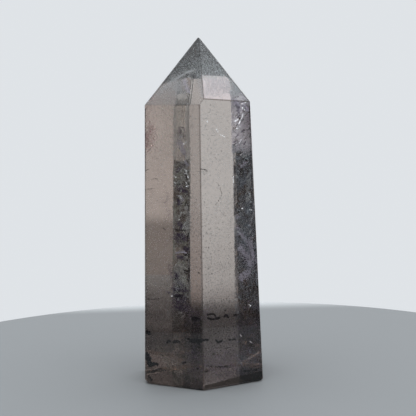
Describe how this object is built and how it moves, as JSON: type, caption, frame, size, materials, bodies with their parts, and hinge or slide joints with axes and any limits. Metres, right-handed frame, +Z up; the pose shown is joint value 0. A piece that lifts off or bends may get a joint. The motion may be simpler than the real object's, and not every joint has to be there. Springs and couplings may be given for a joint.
{
  "type": "smoky quartz tower",
  "caption": "Polished six-sided point of see-through smoky quartz that stands on its flat base, for display or as a desk ornament.",
  "frame": {"origin": "middle of the flat base, under the middle of the bounding box", "axes": "+Z up the stone to its tip, -Y towards the front edge between the two facets that the picture shows, +X to the right"},
  "size_m": [0.0274, 0.0332, 0.08],
  "materials": {
    "smoky_quartz": "polished, see-through grey-brown with cloudy veils and dark flecks"
  },
  "bodies": {
    "root": {"quartz_tower": "smoky_quartz"}
  },
  "joints": []
}
